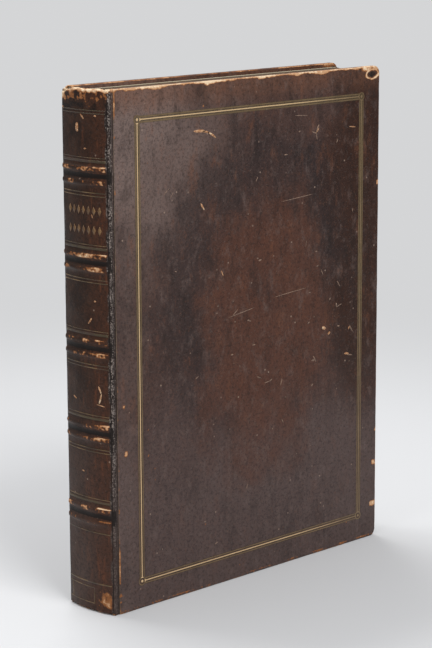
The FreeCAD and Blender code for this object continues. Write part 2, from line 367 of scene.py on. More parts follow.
# %% The sound leather of a cover
def cover_zones(finish):
    """Pale by the joint and to the upper left, rubbed red in the middle with a dark ring round it, dark by
    the fore edge; the pale and dark sides are partly the calf's own tone and partly painted light falloff
    and sheen.
    """
    height = finish.plus(finish.axes["Z"], finish.times(finish.noise(12.0, 4.0), 0.16))
    from_joint = finish.minus(finish.axes["X"], joint_x)
    across = finish.plus(from_joint, finish.times(finish.noise(17.0, 4.0), 0.10))
    colour = finish.blend(finish.ease(height, 0.31, 0.17), CALF_PLUM, CALF_MAUVE)
    # Painted light falloff and sheen, mixed with the calf's own tone: lighter to the upper left and by the
    # joint.
    upper_left = finish.times(finish.ease(height, 0.36, 0.50), finish.ease(across, 0.23, 0.08))
    colour = finish.blend(upper_left, colour, CALF_LIGHT)
    colour = finish.blend(finish.ease(across, 0.085, 0.060, 0.0, 0.25), colour, CALF_LIGHT)
    aside = finish.math("DIVIDE", finish.minus(finish.axes["X"], RUBBED_MIDDLE[0]), RUBBED_REACH[0])
    upward = finish.math("DIVIDE", finish.minus(finish.axes["Z"], RUBBED_MIDDLE[1]), RUBBED_REACH[1])
    reach = finish.plus(finish.math("POWER", aside, 2.0), finish.math("POWER", upward, 2.0))
    wander = finish.noise(19.0, 9.0, stretch=(1.0, 1.0, 0.7), roughness=0.72)
    rubbed = finish.plus(reach, finish.times(wander, 3.6))
    colour = finish.blend(finish.ease(rubbed, 3.5, 1.9, 0.0, 0.88), colour, CALF_RED)
    from_ring = finish.math("ABSOLUTE", finish.minus(rubbed, 3.3))
    ring = finish.times(finish.ease(from_ring, 1.0, 0.1), finish.ease(finish.axes["Z"], 0.13, 0.24))
    ring_share = finish.ease(finish.axes["X"], 0.05, 0.12, 0.53, 0.95)
    colour = finish.blend(finish.times(ring, ring_share), colour, CALF_NIGHT)
    # Painted light falloff, mixed with the calf's own tone: darker towards the fore edge, above the lowest
    # part.
    dark_side = finish.times(finish.ease(across, 0.30, 0.35), finish.ease(height, 0.17, 0.30))
    colour = finish.blend(dark_side, colour, CALF_BROWN)
    return finish.blend(finish.ease(finish.axes["Z"], 0.436, 0.458, 0.0, 0.55), colour, CALF_HEAD)


def cover_clouds(finish, colour):
    """Smudges, pale drifts and upright streaks, which are stronger towards the head."""
    smudge = finish.ease(finish.noise(27.0, 7.0, stretch=(1.0, 1.0, 0.45), roughness=0.7), 0.50, 0.68)
    colour = finish.blend(finish.times(smudge, 0.38), colour, CALF_NIGHT)
    drift = finish.noise(95.0, 6.0, stretch=(1.0, 1.0, 0.6), roughness=0.7)
    colour = finish.blend(finish.ease(drift, 0.50, 0.70, 0.0, 0.34), colour, CALF_LIGHT)
    streaks = finish.noise(62.0, 9.0, stretch=(1.0, 1.0, 0.40), roughness=0.78)
    high_up = finish.ease(finish.axes["Z"], 0.10, 0.26, 0.35, 1.0)
    dark_streaks = finish.times(finish.ease(streaks, 0.50, 0.63, 0.0, 0.40), high_up)
    red_streaks = finish.times(finish.ease(streaks, 0.47, 0.35, 0.0, 0.36), high_up)
    colour = finish.blend(dark_streaks, colour, CALF_BLACK)
    return finish.blend(red_streaks, colour, CALF_RUST)


def cover_layers(finish):
    """Colour of sound leather on a cover, tarnished where the gilt frame was pressed in."""
    colour = cover_clouds(finish, cover_zones(finish))
    under_gilt = finish.ease(frame_aside(finish), 2.6 * MM, 3.8 * MM, 0.68, 0.0)
    tarnish = finish.blend(finish.ease(finish.axes["Z"], 0.12, 0.30), TARNISH_BROWN, TARNISH_GREEN)
    colour = finish.blend(under_gilt, colour, tarnish)
    return mottle(finish, colour, 0.50, 0.29)


print("a cover's leather is laid in zones, clouds and tarnish")

# %% How far a point is from the gilt frame
RING_RADIUS = 4.0 * MM
gilt_low, gilt_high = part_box("front_gilt_frame")
middle_line = (
    [gilt_low[axis] + RING_RADIUS for axis in range(3)],
    [gilt_high[axis] - RING_RADIUS for axis in range(3)],
)


def frame_aside(finish):
    """How far a point lies from the middle line of the gilt frame, as a node output."""
    low, high = middle_line
    gaps = []
    for axis, index in (("X", 0), ("Z", 2)):
        centre, half = (low[index] + high[index]) / 2, (high[index] - low[index]) / 2
        from_centre = finish.math("ABSOLUTE", finish.minus(finish.axes[axis], centre))
        gaps.append(finish.minus(from_centre, half))
    return finish.math("ABSOLUTE", finish.math("MAXIMUM", gaps[0], gaps[1]))


print("the gilt frame's middle line starts at", [round(v, 3) for v in middle_line[0]])


# %% The sound leather of the back, and the mottling of both
def back_layers(finish):
    """Colour of sound leather on the back: darker and browner, streaked by the pull over the cords."""
    grime = finish.ease(finish.noise(46.0, 6.0, roughness=0.65), 0.36, 0.66)
    colour = finish.blend(grime, BACK_DARK, BACK_BROWN)
    low_down = finish.ease(finish.axes["Z"], 0.24, 0.06, 0.0, 0.72)
    colour = finish.blend(low_down, colour, BACK_TAIL)
    sideways = finish.plus(finish.axes["Y"], finish.times(finish.noise(70.0, 4.0), 0.02))
    colour = finish.blend(finish.ease(sideways, 0.014, -0.012, 0.0, 0.7), colour, BACK_WARM)
    streaks = finish.ease(finish.noise(210.0, 6.0, stretch=(1.0, 1.0, 0.22), roughness=0.7), 0.50, 0.68)
    front_side = finish.ease(finish.axes["Y"], 0.016, -0.020, 0.12, 0.62)
    colour = finish.blend(finish.times(streaks, front_side), colour, BACK_STREAK)
    return mottle(finish, colour, 0.60, 0.20)


def mottle(finish, colour, dark_share, light_share):
    """Fine dark blotches and pale flecks, at the size of the leather's own pores and scratches; the pale
    dots are partly painted glints of the grain.
    """
    dark = finish.ease(finish.noise(330.0, 6.0, roughness=0.8), 0.47, 0.62, 0.0, dark_share)
    colour = finish.blend(dark, colour, CALF_BLACK)
    fleck = finish.ease(finish.noise(480.0, 5.0, roughness=0.72), 0.55, 0.70, 0.0, light_share)
    colour = finish.blend(fleck, colour, CALF_FLECK)
    hair = finish.noise(700.0, 2.0, stretch=(0.5, 0.5, 1.0))
    colour = finish.blend(finish.ease(hair, 0.58, 0.74, 0.0, 0.45 * light_share), colour, CALF_GREY)
    # Pale dots, partly specks in the leather and partly painted glints of the grain.
    specks_and_glints = finish.ease(finish.cells(105.0), 0.05, 0.12, 0.75, 0.0)
    some = finish.ease(finish.noise(38.0, 3.0), 0.50, 0.60)
    return finish.blend(finish.times(specks_and_glints, some), colour, CALF_SPECK_GLINT)


print("the back's leather and the mottling are ready")


# %% Grain, joints and wear
def leather_bump(finish):
    grain = finish.cells(1100.0)
    pores = finish.noise(2600.0, 2.0)
    creases = finish.noise(190.0, 6.0, roughness=0.6)
    low = finish.bump(creases, 0.00018)
    middle = finish.bump(grain, 0.00010, below=low)
    return finish.bump(pores, 0.00005, below=middle)


def joint_tones(finish, greying):
    """The crackled, dusty grey of the joints, which browns towards the tail."""
    crackle = finish.noise(560.0, 6.0, stretch=(1.0, 1.0, 0.35), roughness=0.75)
    tone = finish.blend(finish.ease(crackle, 0.45, 0.64), CALF_BLACK, CRACKLE_GREY)
    dusty = finish.plus(finish.noise(640.0, 3.0), finish.times(finish.noise(60.0, 3.0), 0.3))
    dusty = finish.plus(dusty, finish.times(greying, 0.10))
    tone = finish.blend(finish.ease(dusty, 0.74, 0.88), tone, CRACKLE_DUST)
    low_down = finish.ease(finish.axes["Z"], 0.16, 0.05, 0.0, 0.70)
    return finish.blend(low_down, tone, CRACKLE_BROWN)


def make_leather(name, layers):
    finish = Finish(name)
    colour = layers(finish)
    greying = finish.attribute("greying")
    colour = finish.blend(finish.ease(greying, 0.15, 0.5, 0.0, 0.92), colour, joint_tones(finish, greying))
    grit = finish.times(finish.noise(300.0, 6.0, roughness=0.72), 1.1)
    # The wear value also carries a painted highlight along the cords' tops, which turns pale here like bare
    # flesh.
    ragged = finish.plus(finish.attribute("wear_and_glint"), finish.minus(grit, 0.24))
    bare = finish.ease(ragged, 0.96, 1.08)
    colour = finish.blend(finish.ease(ragged, 0.74, 0.86), colour, FLESH_BROWN)
    colour = finish.blend(bare, colour, FLESH_TAN)
    colour = finish.blend(finish.ease(ragged, 1.24, 1.42), colour, FLESH_PALE)
    # Painted shade with real darkening: the dark-marks value holds painted shade in hollows and a painted
    # contact shadow together with dark marks, and fine noise adds grime.
    grime_and_shade = finish.times(finish.noise(520.0, 5.0, roughness=0.7), 0.6)
    grime_and_shade = finish.plus(finish.attribute("dark_marks_and_shade"), grime_and_shade)
    colour = finish.blend(finish.ease(grime_and_shade, 0.74, 0.98, 0.0, 0.92), colour, CALF_BLACK)
    shine = finish.ease(finish.noise(55.0, 4.0), 0.3, 0.7, 0.36, 0.52)
    roughness = finish.plus(shine, finish.times(bare, 0.35))
    finish.surface.inputs["Specular IOR Level"].default_value = 0.15
    return finish.finish(colour, roughness, leather_bump(finish))


cover_leather = make_leather("cover_leather", cover_layers)
back_leather = make_leather("back_leather", back_layers)
print("leather finishes:", cover_leather.name, back_leather.name)


# %% [markdown]
# ## Gold, paper, board, cord and silk
#
# Gold leaf on an old binding is thin and rubbed: it is metal only where the press went deep, and
# brown leather shows through the rest. The leaves' edges are dusty and darker than their faces, and
# the hidden pieces get a plain finish of their own kind, because they show when a cover opens.

# %% The gilt finish
GILT_BRIGHT = rgb(0.66, 0.46, 0.25)
GILT_DULL = rgb(0.128, 0.083, 0.038)
GILT_OLIVE = rgb(0.058, 0.039, 0.018)


def make_gilt(name, layers, bright, dull, loss, middle=False):
    """Gold that is held where the noise is above the loss; a middle line may be brighter."""
    finish = Finish(name)
    leather = layers(finish)
    drifts = finish.times(finish.noise(24.0, 3.0), 0.5)
    rubbed = finish.plus(finish.noise(330.0, 6.0, roughness=0.7), drifts)
    gleam = 0.10 if middle else 0.7
    tone = finish.blend(finish.ease(finish.noise(75.0, 3.0), 0.35, 0.65, 0.0, gleam), dull, bright)
    if middle:
        on_middle = finish.ease(frame_aside(finish), 1.0 * MM, 1.4 * MM, 1.0, 0.0)
        gleaming = finish.ease(finish.axes["X"], 0.04, 0.15, 1.0, 0.14)
        tone = finish.blend(finish.times(on_middle, gleaming), tone, bright)
        rubbed = finish.plus(rubbed, finish.times(on_middle, 0.22))
    held = finish.ease(rubbed, loss, loss + 0.16)
    colour = finish.blend(held, leather, tone)
    roughness = finish.ease(held, 0.0, 1.0, 0.46, 0.36)
    metallic = finish.times(held, 0.3)
    return finish.finish(colour, roughness, leather_bump(finish), metallic)


frame_gilt = make_gilt("frame_gilt", cover_layers, GILT_BRIGHT, GILT_DULL, 0.44, middle=True)
back_gilt = make_gilt("back_gilt", back_layers, rgb(0.26, 0.155, 0.066), GILT_OLIVE, 0.60)
tool_gilt = make_gilt("tool_gilt", back_layers, rgb(0.25, 0.135, 0.050), rgb(0.12, 0.060, 0.023), 0.54)
dull_gilt = make_gilt("dull_gilt", back_layers, rgb(0.090, 0.062, 0.028), GILT_OLIVE, 0.62)
print("gilt finishes:", frame_gilt.name, back_gilt.name, dull_gilt.name)


# %% Paper, board, cord and silk finishes
def make_leaf_edges():
    finish = Finish("leaf_edges")
    lines = finish.noise(420.0, 3.0, stretch=(0.02, 4.0, 0.02))
    dust = finish.ease(finish.noise(18.0, 5.0), 0.3, 0.7)
    colour = finish.blend(lines, rgb(0.062, 0.040, 0.023), rgb(0.165, 0.116, 0.068))
    colour = finish.blend(finish.times(dust, 0.45), colour, rgb(0.07, 0.05, 0.032))
    spots = finish.ease(finish.cells(95.0), 0.10, 0.22, 0.6, 0.0)
    colour = finish.blend(spots, colour, rgb(0.09, 0.055, 0.03))
    return finish.finish(colour, 0.82, finish.bump(lines, 0.00025))


def make_endpaper():
    finish = Finish("endpaper")
    tone = finish.ease(finish.noise(7.0, 5.0), 0.3, 0.7)
    colour = finish.blend(tone, rgb(0.60, 0.51, 0.36), rgb(0.70, 0.62, 0.47))
    foxing = finish.ease(finish.cells(70.0), 0.05, 0.20, 0.5, 0.0)
    patches = finish.ease(finish.noise(9.0, 3.0), 0.5, 0.66)
    colour = finish.blend(finish.times(foxing, patches), colour, rgb(0.36, 0.21, 0.10))
    fibres = finish.noise(700.0, 4.0, stretch=(1.0, 1.0, 0.3))
    return finish.finish(colour, 0.88, finish.bump(fibres, 0.00008))


def make_fibrous(name, dark, light, scale, stretch):
    finish = Finish(name)
    fibres = finish.noise(scale, 5.0, stretch=stretch)
    colour = finish.blend(finish.ease(fibres, 0.3, 0.7), dark, light)
    return finish.finish(colour, 0.9, finish.bump(fibres, 0.0002))


leaf_edges = make_leaf_edges()
endpaper = make_endpaper()
board_grey = make_fibrous("pasteboard", rgb(0.16, 0.115, 0.07), rgb(0.33, 0.25, 0.16), 240.0, (1, 4, 1))
hemp = make_fibrous("hemp_cord", rgb(0.26, 0.19, 0.11), rgb(0.52, 0.42, 0.27), 900.0, (1, 0.4, 2))
lining_paper = make_fibrous("lining_paper", rgb(0.30, 0.23, 0.15), rgb(0.48, 0.39, 0.26), 300.0, (1, 1, 1))
print("paper, board, cord and lining finishes are ready")


# %% The endband's silk
def make_silk():
    finish = Finish("endband_silk")
    turns = finish.math("SINE", finish.times(finish.axes["Y"], 2 * math.pi / (2.4 * MM)))
    colour = finish.blend(finish.ease(turns, -0.3, 0.3), rgb(0.48, 0.37, 0.22), rgb(0.20, 0.075, 0.045))
    dirt = finish.ease(finish.noise(300.0, 4.0), 0.4, 0.7, 0.0, 0.6)
    colour = finish.blend(dirt, colour, rgb(0.12, 0.09, 0.06))
    threads = finish.noise(1500.0, 2.0, stretch=(0.3, 2.0, 0.3))
    return finish.finish(colour, 0.6, finish.bump(threads, 0.0001))


silk = make_silk()
print("silk is ready")

# %% [markdown]
# ## Turning a bmesh into a piece
#
# Each new piece is drawn in a bmesh, in place, and then handed over by one function: it writes the
# mesh, gives it a finish and smooth shading, and says which body it belongs to.


# %% The hand-over function
def make_piece(shape, name, material, slot, body=None):
    mesh = bpy.data.meshes.new(name)
    shape.to_mesh(mesh)
    shape.free()
    for polygon in mesh.polygons:
        polygon.use_smooth = True
    mesh.materials.append(material)
    piece = bpy.data.objects.new(name, mesh)
    bpy.context.scene.collection.objects.link(piece)
    if body:
        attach(piece, body)
    print("made %s with %d faces" % (name, len(mesh.polygons)))
    return piece


def make_closed_piece(shape, *details):
    """Hand over a closed solid, with its faces turned outwards first."""
    bmesh.ops.recalc_face_normals(shape, faces=shape.faces[:])
    return make_piece(shape, *details)


def rough(point, scale, seed=0.0):
    """Smooth noise from about -1 to 1 at this point, for shapes that are moved vertex by vertex."""
    return noise.noise(Vector(point) * scale + Vector((seed, seed * 0.7, -seed)))


def smooth_step(value, low, high):
    share = min(1.0, max(0.0, (value - low) / (high - low)))
    return share * share * (3 - 2 * share)


def peak(value, centre, width):
    """A soft bell: 1 where the value meets the centre, and next to nothing two widths away."""
    return math.exp(-((value - centre) / width) ** 2)


# %% [markdown]
# ## Laying a sheet
#
# Leather and paper start as flat sheets. A sheet here is a grid whose columns and rows can be as
# close together as the folds need: many over a bead or a corner, few on a flat panel. Each point of
# the grid is then carried to its place by a fold, just as the binder's hands carry the real skin
# round a board. Thickness comes last, once the sheet lies where it should.


# %% Lay a sheet and give it thickness
def lay_sheet(columns, rows, fold):
    """A grid folded into place. The fold returns a place and wear values, or None where it is cut."""
    shape = bmesh.new()
    bmesh.ops.create_grid(shape, x_segments=len(columns) - 1, y_segments=len(rows) - 1, size=0.5)
    layers = {key: shape.verts.layers.float.new(key) for key in ("wear_and_glint", "dark_marks_and_shade", "greying")}
    cut_away = []
    for vert in shape.verts:
        column = columns[round((vert.co.x + 0.5) * (len(columns) - 1))]
        row = rows[round((vert.co.y + 0.5) * (len(rows) - 1))]
        folded = fold(column, row)
        if folded is None:
            cut_away.append(vert)
            continue
        vert.co = folded[0]
        for key, value in folded[1].items():
            vert[layers[key]] = value
    bmesh.ops.delete(shape, geom=cut_away, context="VERTS")
    return shape


def steps(start, end, spacing):
    count = max(1, round(abs(end - start) / spacing))
    return [start + (end - start) * n / count for n in range(count + 1)]


def face_outwards(shape, outside):
    """Turn an open sheet so that its first side faces this point."""
    lean = sum(face.normal.dot(Vector(outside) - face.calc_center_median()) * face.calc_area()
               for face in shape.faces)
    if lean < 0:
        bmesh.ops.reverse_faces(shape, faces=shape.faces[:])


def thicken(piece, thickness):
    """Give a sheet its thickness on the inner side, within the book's height, as its own mesh."""
    wall = piece.modifiers.new("thickness", "SOLIDIFY")
    wall.thickness = thickness
    wall.offset = -1.0
    bpy.context.view_layer.update()
    solid = bpy.data.meshes.new_from_object(piece.evaluated_get(bpy.context.evaluated_depsgraph_get()))
    piece.modifiers.remove(wall)
    for vert in solid.vertices:
        vert.co.z = min(max(vert.co.z, 0.0), book_height)
    piece.data = solid


print("a step list:", [round(s, 2) for s in steps(0, 1, 0.3)])

# %% [markdown]
# ## The leather of the back
#
# The real leather was pared thin, pasted, and moulded over the cords while wet, so the whole back is
# one skin. Its columns follow the outline across the back, and its rows run up the spine, close
# together over the cords. Each point is lifted where a cord lies under it. At both ends the rows
# roll inward to make the caps, whose crests are frayed at the head and rubbed at the tail.


# %% The outline across the back
def back_outline():
    """Points across the back from the front joint to the back one, with the way each faces."""
    tangent_angle = math.atan2(shoulder_y, shoulder_x - back_centre_x)
    ridge_y = shoulder_y + SHOULDER_RADIUS
    under_joint = [(-1.6, 0.8), (-2.3, 0.2), (-3.2, 0.0), (-4.0, 0.0)]
    half = [(Vector((joint_x + x * MM, ridge_y - sunk * MM, 0)), Vector((0, 1, 0)))
            for x, sunk in under_joint]
    for angle in steps(math.pi / 2, tangent_angle, math.radians(12)):
        facing = Vector((math.cos(angle), math.sin(angle), 0))
        half.append((Vector((shoulder_x, shoulder_y, 0)) + facing * SHOULDER_RADIUS, facing))
    for angle in steps(tangent_angle, math.pi, 1.0 * MM / BACK_RADIUS)[1:]:
        facing = Vector((math.cos(angle), math.sin(angle), 0))
        half.append((Vector((back_centre_x, 0, 0)) + facing * BACK_RADIUS, facing))
    flip = Vector((1, -1, 1))
    front_half = [(place * flip, facing * flip) for place, facing in half]
    return front_half + half[-2::-1]


outline = back_outline()
print("the back's outline has", len(outline), "points")

# %% Rows up the spine, with rolled caps
CAP_ROLL = 2.0 * MM
CAP_REACH = 6.2 * MM


def cap_rows(base, direction):
    """A cap's rows as (inward, height): a quarter roll, a flat top and a turned-in lip."""
    angles = [math.pi / 2 * n / 6 for n in range(1, 7)]
    rows = [(CAP_ROLL * (1 - math.cos(a)), base + direction * CAP_ROLL * math.sin(a)) for a in angles]
    top = base + direction * CAP_ROLL
    rows += [(reach * MM, top - direction * 0.06 * MM) for reach in (2.9, 3.8, 4.7, 5.5)]
    return rows + [(CAP_REACH, top - direction * 0.5 * MM), (CAP_REACH, top - direction * 1.6 * MM)]


def spine_rows():
    heights = [CAP_ROLL]
    top = book_height - CAP_ROLL
    while heights[-1] < top - 1.0 * MM:
        nearest = min(abs(heights[-1] - z) for z in band_heights)
        heights.append(heights[-1] + (0.7 * MM if nearest < 13 * MM else 2.2 * MM))
    plain = [(0.0, z) for z in heights[:-1]] + [(0.0, top)]
    return cap_rows(CAP_ROLL, -1)[::-1] + plain + cap_rows(top, 1)


CORD_REACH = 3.35 * MM
CORD_SINK = CORD_REACH - BAND_RISE
print("rows up the spine:", len(spine_rows()))


# %% Lift the leather over the cords
def band_lift(place):
    """How far the leather stands off the back at this point because of the cords under it."""
    end = smooth_step(cord_end_y + 1.2 * MM - abs(place.y), 0.0, 2.4 * MM)
    lift = 0.0
    for z in cord_heights:
        away = abs(place.z - z + 0.35 * MM * rough(place, 60.0, z))
        if away < 3 * CORD_REACH:
            crown = math.sqrt(max(0.0, CORD_REACH ** 2 - away ** 2)) - CORD_SINK
            flank = 0.35 * MM * peak(away, CORD_REACH, 1.0 * MM)
            lift = max(lift, crown, flank)
    return lift * end


print("the leather rises %.2f mm over a cord" % (band_lift(Vector((0, 0, cord_heights[0]))) / MM))


# %% Wear with a painted highlight, dark marks with painted shade, and grey on the back
def band_wear_and_glint(place, lift):
    """Bare flesh on the crests of the cords, most of it towards the front cover, and a painted highlight: a
    pale line along the top of each cord at its front end.
    """
    front_side = smooth_step(-place.y, -14 * MM, 16 * MM)
    front_end = smooth_step(-place.y, 11 * MM, 16 * MM)
    crest = smooth_step(lift, 0.9 * MM, 1.7 * MM)
    # Painted highlight: a pale line along the upper flank of each cord, strongest at its front end, carried
    # in the wear value.
    above = max(peak(place.z - z, 1.9 * MM, 0.7 * MM) for z in cord_heights)
    patchy = 0.60 * rough(place, 95.0, 3.0) + 0.60 * rough(place, 430.0, 7.0)
    on_crest = crest * (0.33 + 0.14 * front_side + patchy + 0.06 * above)
    crest_glint = smooth_step(lift, 0.2 * MM, 0.8 * MM) * above * front_end
    return max(on_crest, crest_glint * (0.84 + rough(place, 120.0, 51.0)))


def end_wear(place):
    """A frayed cap with tongues below it at the head, and a rubbed edge and patch at the tail."""
    head_gap = book_height - place.z
    back_run = smooth_step(place.y, 22 * MM, 26.5 * MM) * 8 * MM
    fray = 3.0 * MM + back_run + 2.4 * MM * rough(place, 190.0, 5.0)
    cap = (1.08 + 0.5 * rough(place, 230.0, 15.0)) * smooth_step(fray - head_gap, -1.2 * MM, 1.4 * MM)
    fringe = smooth_step(15 * MM + 9 * MM * rough(place, 130.0, 25.0) - head_gap, 0, 6 * MM)
    fringe *= 0.42 + 0.6 * rough(place, 260.0, 26.0)
    rubbed_tail = 1.6 * MM - place.z + 1.4 * MM * rough(place, 200.0, 8.0)
    patch = smooth_step(24 * MM - place.z, 0, 5 * MM) * smooth_step(-place.y, 9 * MM, 13 * MM)
    patch *= smooth_step(28.5 * MM + place.y, 0, 1.5 * MM) * smooth_step(place.z, 3 * MM, 7 * MM)
    patch *= 0.50 + 0.4 * rough(place, 170.0, 1.0)
    return max(cap, fringe, 0.7 * smooth_step(rubbed_tail, -1 * MM, 1 * MM), patch)


def back_shade_and_darkening(place, inward, edge_y):
    """Painted shade between and beside the cords, in the pits at their ends, in the joint's crease and under
    the caps, and a darker zone near the head.
    """
    # Painted shade: darkening between the paired cords, at the foot of each band, in the pits where the
    # bands end by the joint, in the joint's crease and under the caps.
    between = max(peak(place.z, z, 2.7 * MM) for z in band_heights)
    beside = max(peak(abs(place.z - z), 10.2 * MM, 1.2 * MM) for z in band_heights)
    pit = max(peak(place.z, z, 9 * MM) for z in band_heights)
    pit *= smooth_step(3.4 * MM - edge_y, 0, 1.0 * MM)
    crease = peak(edge_y, 2.2 * MM, 0.5 * MM)
    under_cap = 0.9 * smooth_step(inward, 3 * MM, 5 * MM)
    head_gap = book_height - place.z
    dark_head = smooth_step(26 * MM + 10 * MM * rough(place, 70.0) - head_gap, 0, 12 * MM)
    return max(between, 0.5 * beside, pit, crease, under_cap, 0.62 * dark_head)


def back_marks(place, lift, inward):
    """Wear with a painted highlight, dark marks with painted shade, and grey crackle at a point on the back.
    """
    edge_y = half_thickness - abs(place.y)
    crest = smooth_step(lift, 0.9 * MM, 1.7 * MM)
    # Grey crackle laid along the back's shoulders and the ridge beside each joint.
    shoulder = smooth_step(2.0 * MM - edge_y, 0, 0.6 * MM)
    ridge = smooth_step(4.8 * MM - edge_y, 0, 1.0 * MM) * (0.42 + 0.7 * rough(place, 85.0, 41.0))
    wear_and_glint = max(band_wear_and_glint(place, lift), end_wear(place))
    dark_marks_and_shade = max(0.0, back_shade_and_darkening(place, inward, edge_y) - max(0.0, wear_and_glint))
    return {"wear_and_glint": wear_and_glint, "dark_marks_and_shade": dark_marks_and_shade, "greying": max(shoulder, ridge * (1 - crest))}


middle_crest = Vector((joint_x, 0, cord_heights[5]))
print("wear on the crest of the middle band: %.2f" % band_wear_and_glint(middle_crest, BAND_RISE))

# %% Fold the skin of the back
HEAD_WORN, TAIL_WORN = 2.6, 0.3


def fold_back(column, row):
    (base, facing), (inward, height) = column, row
    place = Vector((base.x, base.y, height))
    lift = band_lift(place) if inward == 0 else 0.0
    middle = smooth_step(half_thickness - 5.5 * MM - abs(base.y), 0.0, 3.5 * MM)
    pull = inward if inward <= CAP_ROLL else CAP_ROLL + (inward - CAP_ROLL) * middle
    hollow = 0.18 * MM * rough(place, 26.0, 11.0) + 0.10 * MM * rough(place, 120.0, 12.0)
    place += facing * (lift - pull + hollow - 0.1 * MM)
    at_head = height > book_height / 2
    end_gap = min(height, book_height - height)
    if end_gap < 5 * MM:
        torn = smooth_step(5 * MM - end_gap, 0, 3.5 * MM)
        uneven = 0.55 + 0.9 * rough(base + Vector((0, 0, inward)), 210.0, 21.0)
        uneven *= smooth_step(half_thickness - 2.6 * MM - abs(base.y), 0, 1.5 * MM)
        worn_end = HEAD_WORN * smooth_step(base.y, 10 * MM, 25 * MM) if at_head else TAIL_WORN
        sag = torn * (uneven + worn_end) * MM
        place.z += -sag if at_head else sag
        if at_head:
            place -= facing * 1.2 * MM * torn * smooth_step(base.y, 19 * MM, 27 * MM)
        if uneven:
            place += facing * (0.35 * torn * rough(place, 260.0, 9.0)) * MM
    place.z = min(max(place.z, 0.02 * MM), book_height - 0.02 * MM)
    return place, back_marks(place, lift, inward)


print("the caps have worn down by", HEAD_WORN, "mm at the head and", TAIL_WORN, "mm at the tail")

# %% Lay the back's skin
back_skin = lay_sheet(outline, spine_rows(), fold_back)
face_outwards(back_skin, (-1.0, 0, book_height / 2))
spine_skin = make_piece(back_skin, "spine_skin", back_leather, "leather", "root")
thicken(spine_skin, 0.9 * MM)
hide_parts("spine_leather")

# %% [markdown]
# ## The leather of a cover
#
# One skin covers each board: it is flat on the face, rolls over three edges, and turns in on the
# inside. On the fourth side it crosses the joint and lies down on the shoulder of the back.

# %% Rolling over an edge, and crossing the joint
FACE_DROP = 0.13 * MM
RIM = 1.4 * MM
CORNER = 7.0 * MM
TURN_IN = 10.0 * MM
quarter_run = RIM * math.pi / 2
wall_run = board_depth - 2 * RIM


def roll_over(distance):
    """Going round the board's edge by this distance: how far out from the outline, and how deep."""
    if distance < quarter_run:
        angle = distance / RIM
        return RIM * (math.sin(angle) - 1), RIM * (1 - math.cos(angle))
    distance -= quarter_run
    if distance < wall_run:
        return 0.0, RIM + distance
    distance -= wall_run
    if distance < quarter_run:
        angle = distance / RIM
        return RIM * (math.cos(angle) - 1), board_depth - RIM + RIM * math.sin(angle)
    return -RIM - (distance - quarter_run), board_depth


roll_steps = [quarter_run * n / 4 for n in range(1, 5)]
roll_steps += [quarter_run + wall_run * n / 3 for n in range(1, 4)]
roll_steps += [quarter_run + wall_run + quarter_run * n / 3 for n in range(1, 4)]
roll_steps += [2 * quarter_run + wall_run + TURN_IN * n / 3 for n in range(1, 4)]
joint_path = [
    (-5.05, 1.12), (-4.8, 0.92), (-4.3, 0.78), (-3.7, 0.74), (-3.1, 0.80), (-2.6, 0.96), (-2.25, 1.22),
    (-2.0, 1.34), (-1.75, 1.18), (-1.45, 0.98), (-1.15, 0.98), (-0.85, 1.18), (-0.5, 1.46), (-0.15, 1.46),
    (0.1, 1.15), (0.3, 0.72), (0.6, 0.34), (1.1, 0.10),
]
print("an edge takes", len(roll_steps), "steps and the joint", len(joint_path))

# %% Columns and rows of a cover's sheet
CELL = 2.6 * MM


def cover_columns():
    """Each column is (kind, x, depth, run): on the joint, on the face, or round the fore edge."""
    columns = [("joint", joint_x + x * MM, depth * MM, 0.0) for x, depth in joint_path]
    fine = steps(joint_x + 1.9 * MM, joint_x + 10 * MM, 0.9 * MM)
    coarse = steps(joint_x + 10 * MM, fore_x - 20 * MM, CELL)[1:]
    near_edge = steps(fore_x - 20 * MM, fore_x - RIM, 1.0 * MM)[1:]
    columns += [("face", x, 0.0, 0.0) for x in fine + coarse + near_edge]
    return columns + [("edge", fore_x - RIM, 0.0, run) for run in roll_steps]


def cover_rows():
    """Each row is (z, run, side): side is -1 round the tail, 1 round the head and 0 on the face."""
    near_tail = steps(RIM, 9 * MM, 1.2 * MM)
    middle = steps(9 * MM, book_height - 14 * MM, CELL)[1:]
    near_head = steps(book_height - 14 * MM, book_height - RIM, 1.0 * MM)[1:]
    rows = [(RIM, run, -1) for run in roll_steps[::-1]]
    rows += [(z, 0.0, 0) for z in near_tail + middle + near_head]
    return rows + [(book_height - RIM, run, 1) for run in roll_steps]


print("a cover's sheet is", len(cover_columns()), "by", len(cover_rows()))


# %% Fold one point of a cover's sheet
def fold_cover(column, row):
    """The point's x and z, its depth below the cover's face, and its distance in from the outline."""
    (kind, x, depth, run_x), (z, run_z, side) = column, row
    corner_x = fore_x - CORNER
    corner_z = book_height - CORNER if z > book_height / 2 else CORNER
    up = 1 if z > book_height / 2 else -1
    a = x - corner_x + run_x
    b = (z - corner_z) * up + run_z
    if kind != "joint" and a > 0 and b > 0:
        reach = max(a, b)
        out, deep = roll_over(reach - (CORNER - RIM)) if reach > CORNER - RIM else (reach - CORNER, 0.0)
        radius = CORNER + out
        if radius < 0.8 * MM and deep > 1 * MM:
            return None
        scale = radius / math.hypot(a, b)
        return corner_x + a * scale, corner_z + b * scale * up, deep, -out
    if run_x:
        out, deep = roll_over(run_x)
        return fore_x + out, z, deep, -out
    if side:
        out, deep = roll_over(run_z)
        if kind == "joint" and x < joint_x + 0.1 * MM and run_z > quarter_run * 1.01:
            return None
        edge = book_height if side > 0 else 0.0
        deep = depth + deep * (board_depth - depth) / board_depth
        return x, edge + out * side, deep, -out
    return x, z, depth, min(z, book_height - z, fore_x - x)


print("the sheet's folding is ready; its corners are rounded by %.0f mm" % (CORNER / MM))


